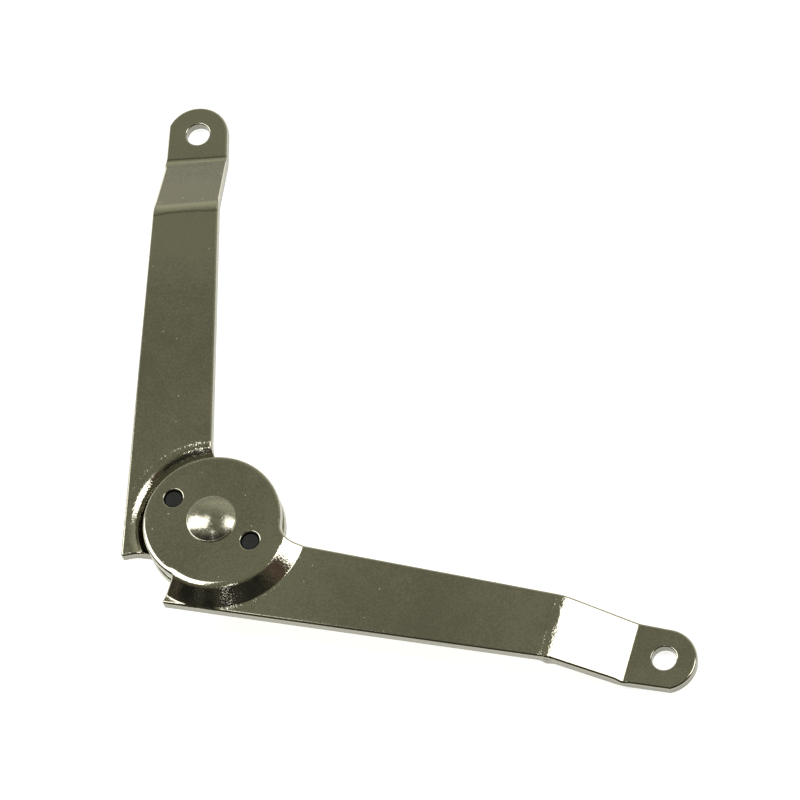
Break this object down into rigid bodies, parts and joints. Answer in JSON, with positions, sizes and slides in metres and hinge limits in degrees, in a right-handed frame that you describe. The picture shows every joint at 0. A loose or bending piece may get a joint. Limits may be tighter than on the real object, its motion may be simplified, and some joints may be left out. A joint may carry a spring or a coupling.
{
  "type": "friction lid stay",
  "caption": "Folding friction lid stay: two cranked plated strip-steel arms joined by a domed rivet over a pegged plastic friction disc, with a screw hole in each end tab.",
  "frame": {"origin": "centre of the case arm's screw hole, at the underside of its tab, in the mounting plane", "axes": "+Z square to the mounting plane and away from it; +X along the case arm, from the pivot towards its screw hole"},
  "size_m": [0.114, 0.0934, 0.0109],
  "materials": {
    "nickel_plate": "bright nickel plate over stamped steel, lightly pitted",
    "nickel_rivet": "bright nickel plate",
    "black_nylon": "moulded black nylon, satin",
    "spring_steel": "hardened spring steel, lightly oiled"
  },
  "bodies": {
    "case_side": {"case_arm": "nickel_plate", "friction_disc": "black_nylon", "pivot_rivet": "nickel_rivet", "disc_spring": "spring_steel", "backing_washer": "nickel_rivet"},
    "lid_side": {"lid_arm": "nickel_plate"}
  },
  "joints": [
    {"name": "pivot", "type": "hinge", "parent": "case_side", "child": "lid_side", "pos_m": [-0.07708, 0.00588, 0], "axis": [0, 0, 1], "range_deg": [-105.4, 35.5]}
  ]
}
